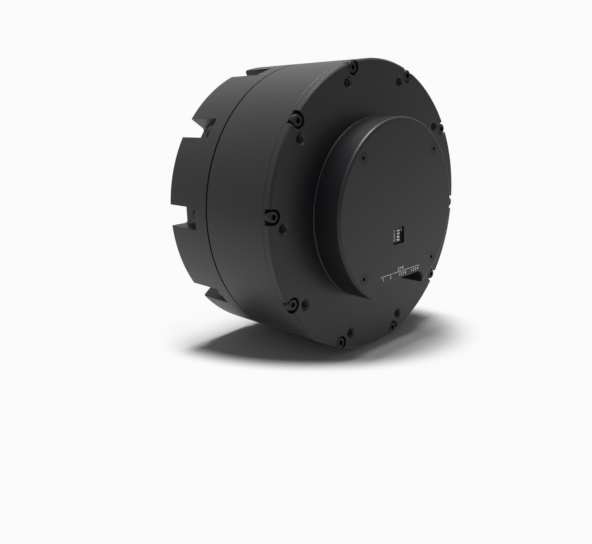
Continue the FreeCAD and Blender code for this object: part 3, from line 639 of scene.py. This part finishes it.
class ACTUATOR_OT_port_numbers(bpy.types.Operator):
    """Print the line and the contact numbers over the connector bay"""
    bl_idname = "actuator.port_numbers"
    bl_label = "Port numbers"

    def execute(self, context):
        marks = context.scene.actuator_marks
        bm = bmesh.new()
        numbers = []
        for name, wall, depth, pins in PORTS:
            low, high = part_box(name)
            step = (high.x - low.x - 2 * wall) / pins
            numbers += [(str(i + 1), low.x + wall + step * (i + 0.5)) for i in range(pins)]
        bay_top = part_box("power_connector")[0].z
        line_z = bay_top + marks.line_up
        x0, x1 = numbers[0][1] - LINE_PAST[0], numbers[-1][1] + LINE_PAST[1]
        y0, y1 = COVER_Y - INK_T, COVER_Y
        add_box(bm, (x0, y0, line_z - marks.line / 2), (x1, y1, line_z + marks.line / 2))
        for x in (x0, x1):
            add_box(bm, (x - marks.line / 2, y0, line_z - TICK),
                    (x + marks.line / 2, y1, line_z + marks.line / 2))
        for text, x in numbers:
            add_text(bm, text, marks.digit, x, COVER_Y, line_z - NUMBER_GAP - marks.digit * 0.7)
        poles = " ".join(str(pins) for name, wall, depth, pins in PORTS)
        add_text(bm, poles, marks.digit, (x0 + x1) / 2, COVER_Y, line_z + marks.digit)
        add_piece("port_numbers", bm, pad_printed_ink(context.scene.actuator_finish), "housing")
        return {"FINISHED"}


class ACTUATOR_OT_switch(bpy.types.Operator):
    """Finish the address switch and print its numbers"""
    bl_idname = "actuator.switch"
    bl_label = "Address switch"

    def execute(self, context):
        finish = context.scene.actuator_finish
        marks = context.scene.actuator_marks
        dress(moulded_nylon("black_nylon", linear("#1c1c1e")), "switch_body")
        dress(moulded_nylon("white_nylon", linear("#e4e4dd")), *group("switch_slider"))
        low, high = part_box("switch_body")
        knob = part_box("switch_slider_1")[0].x
        bm = bmesh.new()
        for name in group("switch_slider"):
            a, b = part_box(name)
            add_text(bm, name[-1], marks.small_digit, (low.x + knob) / 2, low.y, (a.z + b.z) / 2)
        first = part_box("switch_slider_1")
        add_text(bm, "ON", marks.small_digit * ON_SHARE, high.x - ON_IN, low.y,
                 (first[0].z + first[1].z) / 2, upright=False)
        add_piece("switch_numbers", bm, pad_printed_ink(finish), "housing")
        return {"FINISHED"}


class ACTUATOR_OT_electronics(bpy.types.Operator):
    """Finish the driver board and what stands on it"""
    bl_idname = "actuator.electronics"
    bl_label = "Driver electronics"

    def execute(self, context):
        dress(solder_masked_board(), "driver_board")
        dress(moulded_epoxy(), "power_transistors", "controller_chip", "encoder_chips")
        dress(drawn_aluminium_can(), "capacitors")
        dress(silicone_pad(), "thermal_pad")
        return {"FINISHED"}


class ACTUATOR_OT_motor(bpy.types.Operator):
    """Finish the stator, its windings and leads, and the magnets"""
    bl_idname = "actuator.motor"
    bl_label = "Motor"

    def execute(self, context):
        dress(stacked_silicon_steel(), "stator_core")
        dress(enamelled_copper_wire(), "stator_coils", "phase_leads")
        dress(nickel_plated_magnet(), "rotor_magnets", "rotor_encoder_magnet", "rod_magnet")
        return {"FINISHED"}


class ACTUATOR_OT_gears(bpy.types.Operator):
    """Finish the rotor, the gears, the carriers and the bearings"""
    bl_idname = "actuator.gears"
    bl_label = "Gears and bearings"

    def execute(self, context):
        dress(hobbed_gear_steel(), "rotor_cup", "sun_gear_1", "shaft_circlip", "encoder_rod",
              *group("ring_gear"), *group("carrier_1"), *group("planet_gear"))
        dress(ground_bearing_steel(), "crossed_rollers", *group("motor_bearing"),
              *group("carrier_bearing"), *group("output_bearing"), *group("planet_pins"))
        dress(sintered_bronze(), *group("planet_sleeves"))
        return {"FINISHED"}


class ACTUATOR_OT_output(bpy.types.Operator):
    """Finish the output flange, the spacer and the seals"""
    bl_idname = "actuator.output"
    bl_label = "Output flange and seals"

    def execute(self, context):
        dress(turned_aluminium(), "output_flange", "bearing_spacer")
        dress(nitrile_rubber(), "output_seal", "seam_seal")
        return {"FINISHED"}


class ACTUATOR_OT_stage(bpy.types.Operator):
    """Build the pale floor, the studio light and the camera"""
    bl_idname = "actuator.stage"
    bl_label = "Stage"

    def execute(self, context):
        stage = context.scene.actuator_stage
        context.scene.view_settings.view_transform = "Standard"
        self.add_floor()
        self.add_world(context, stage)
        self.add_lamp("softbox", SOFTBOX_PLACE, stage.key, stage.softbox, stage.softbox)
        self.add_lamp("strip_softbox", STRIP_PLACE, stage.strip, stage.softbox,
                      STRIP_SHARE * stage.softbox)
        self.add_camera(context, stage)
        return {"FINISHED"}

    def add_floor(self):
        """White paper under the actuator, which keeps its shadow."""
        bm = bmesh.new()
        z = CAD_BOX[0].z
        bmesh.ops.create_grid(bm, x_segments=1, y_segments=1, size=4.0,
                              matrix=Matrix.Translation((0, 0, z)))
        mesh = bpy.data.meshes.new("floor")
        bm.to_mesh(mesh)
        bm.free()
        material = bpy.data.materials.new("white_paper")
        material.use_nodes = True
        tree = material.node_tree
        shader = tree.nodes["Principled BSDF"]
        shader.inputs["Base Color"].default_value = linear("#fafaf9")
        shader.inputs["Roughness"].default_value = 0.9
        # Seen directly, the paper keeps its shadow in an oval round the actuator's foot and is
        # plain white further out.
        glow = add_node(tree, "Emission", {"Color": (1, 1, 1, 1), "Strength": WHITE})
        place = add_node(tree, "TexCoord").outputs["Object"]
        oval = add_node(tree, "Mapping",
                        {"Location": (*SHADOW_PLACE, z), "Rotation": (0, 0, math.radians(SHADOW_TURN)),
                         "Scale": (*SHADOW_HALF, 1.0)}, {"Vector": place}, vector_type="TEXTURE")
        away = add_node(tree, "VectorMath", links={0: oval.outputs["Vector"]}, operation="LENGTH")
        white = self.ramp(tree, away.outputs["Value"], 0.82, 1.16, 0.0, 1.0, "SMOOTHSTEP")
        # In gloss the paper is light in front of the actuator and outside the oval.
        front = add_node(tree, "SeparateXYZ", links={0: place})
        before = self.ramp(tree, front.outputs["Y"], -0.01, 0.02, 0.45, 0.05)
        beyond = self.ramp(tree, away.outputs["Value"], 0.75, 1.0, 0.05, 0.5)
        mirrored = add_node(tree, "Math", links={0: before, 1: beyond}, operation="MAXIMUM")
        share = self.background_share(tree, white, mirrored.outputs[0])
        mixed = add_node(tree, "MixShader", links={0: share, 1: shader.outputs["BSDF"],
                                                   2: glow.outputs["Emission"]})
        tree.links.new(mixed.outputs[0], tree.nodes["Material Output"].inputs["Surface"])
        mesh.materials.append(material)
        floor = bpy.data.objects.new("floor", mesh)
        bpy.context.scene.collection.objects.link(floor)

    def ramp(self, tree, value, start, end, low, high, interpolation="LINEAR"):
        """`value` led from `low` at `start` to `high` at `end`."""
        ramp = add_node(tree, "MapRange",
                        {"From Min": start, "From Max": end, "To Min": low, "To Max": high},
                        {"Value": value}, interpolation_type=interpolation)
        return ramp.outputs["Result"]

    def background_share(self, tree, direct=None, mirrored=None):
        """Share of the plain white background, times `direct` as seen and `mirrored` in gloss."""
        path = add_node(tree, "LightPath")
        shown = add_node(tree, "Math", operation="MAXIMUM",
                         links={0: path.outputs["Is Camera Ray"],
                                1: path.outputs["Is Transmission Ray"]})
        rays = [shown.outputs[0], path.outputs["Is Glossy Ray"]]
        for i, share in enumerate((direct, mirrored)):
            if share:
                rays[i] = add_node(tree, "Math", links={0: rays[i], 1: share},
                                   operation="MULTIPLY").outputs[0]
        return add_node(tree, "Math", links={0: rays[0], 1: rays[1]}, operation="MAXIMUM").outputs[0]

    def add_world(self, context, stage):
        """Light from all round, and the white room."""
        world = bpy.data.worlds.new("studio")
        world.use_nodes = True
        context.scene.world = world
        tree = world.node_tree
        light = tree.nodes["Background"]
        light.inputs["Color"].default_value = (1, 1, 1, 1)
        light.inputs["Strength"].default_value = stage.fill
        # The room is white seen directly.  In gloss its walls are in shade, more so on the
        # side of the actuator's front, and its ceiling is bright.
        where = add_node(tree, "SeparateXYZ", links={0: add_node(tree, "TexCoord").outputs["Generated"]})
        height = self.ramp(tree, where.outputs["Z"], 0.0, 0.8, 0.55, 0.9)
        side = self.ramp(tree, where.outputs["Y"], -0.7, 0.2, 0.6, 1.0)
        shade = add_node(tree, "Math", links={0: height, 1: side}, operation="MULTIPLY")
        seen = add_node(tree, "LightPath").outputs["Is Camera Ray"]
        strength = add_node(tree, "Mix", {"B": WHITE}, {"Factor": seen, "A": shade.outputs[0]})
        white = add_node(tree, "Background", {"Color": (1, 1, 1, 1)}, {"Strength": strength.outputs[0]})
        mixed = add_node(tree, "MixShader", links={0: self.background_share(tree), 1: light.outputs[0],
                                                   2: white.outputs[0]})
        tree.links.new(mixed.outputs[0], tree.nodes["World Output"].inputs["Surface"])

    def add_lamp(self, name, place, power, width, depth):
        """Oval softbox that looks at the shaft."""
        lamp = bpy.data.lights.new(name, "AREA")
        lamp.energy = power
        lamp.shape = "ELLIPSE"
        lamp.size = width
        lamp.size_y = depth
        box = bpy.data.objects.new(name, lamp)
        box.location = place
        box.rotation_euler = (-place).to_track_quat("-Z", "Y").to_euler()
        bpy.context.scene.collection.objects.link(box)

    def add_camera(self, context, stage):
        """Camera by its angles round the origin, then moved in its own plane."""
        a, e = stage.azimuth, stage.elevation
        back = Vector((-math.sin(a) * math.cos(e), -math.cos(a) * math.cos(e), math.sin(e)))
        right = Vector((0, 0, 1)).cross(back).normalized()
        up = back.cross(right)
        c, s = math.cos(stage.roll), math.sin(stage.roll)
        right, up = c * right + s * up, c * up - s * right
        lens = bpy.data.cameras.new("camera")
        lens.sensor_width = 36.0
        lens.lens = stage.lens
        lens.clip_start = 0.01
        camera = bpy.data.objects.new("camera", lens)
        turn = Matrix((right, up, back)).transposed().to_4x4()
        camera.matrix_world = Matrix.Translation(
            back * stage.distance + right * stage.across + up * stage.up) @ turn
        context.scene.collection.objects.link(camera)
        context.scene.camera = camera


# --------------------------------------------------------------------- panel
SETTINGS = (("actuator_finish", ActuatorFinish), ("actuator_marks", ActuatorMarks),
            ("actuator_threads", ActuatorThreads), ("actuator_stage", ActuatorStage))
OPERATORS = (ACTUATOR_OT_housings, ACTUATOR_OT_screws, ACTUATOR_OT_threads, ACTUATOR_OT_sockets,
             ACTUATOR_OT_port_numbers, ACTUATOR_OT_switch, ACTUATOR_OT_electronics, ACTUATOR_OT_motor,
             ACTUATOR_OT_gears, ACTUATOR_OT_output, ACTUATOR_OT_stage)


class ACTUATOR_PT_panel(bpy.types.Panel):
    """Sizes, colours and steps of the actuator"""
    bl_idname = "ACTUATOR_PT_panel"
    bl_label = "Robot Joint Actuator"
    bl_space_type = "VIEW_3D"
    bl_region_type = "UI"
    bl_category = "Actuator"

    def draw(self, context):
        for name, kind in SETTINGS:
            box = self.layout.box()
            box.label(text=kind.__doc__)
            for key in kind.__annotations__:
                box.prop(getattr(context.scene, name), key)
        for operator in OPERATORS:
            self.layout.operator(operator.bl_idname)


CLASSES = tuple(kind for name, kind in SETTINGS) + OPERATORS + (ACTUATOR_PT_panel,)


def register():
    for cls in CLASSES:
        bpy.utils.register_class(cls)
    for name, kind in SETTINGS:
        setattr(bpy.types.Scene, name, PointerProperty(type=kind))


def unregister():
    for name, kind in SETTINGS:
        delattr(bpy.types.Scene, name)
    for cls in reversed(CLASSES):
        bpy.utils.unregister_class(cls)


def main():
    register()
    bpy.ops.actuator.housings()
    bpy.ops.actuator.screws()
    bpy.ops.actuator.threads()
    bpy.ops.actuator.sockets()
    bpy.ops.actuator.port_numbers()
    bpy.ops.actuator.switch()
    bpy.ops.actuator.electronics()
    bpy.ops.actuator.motor()
    bpy.ops.actuator.gears()
    bpy.ops.actuator.output()
    bpy.ops.actuator.stage()


if __name__ == "__main__":
    main()
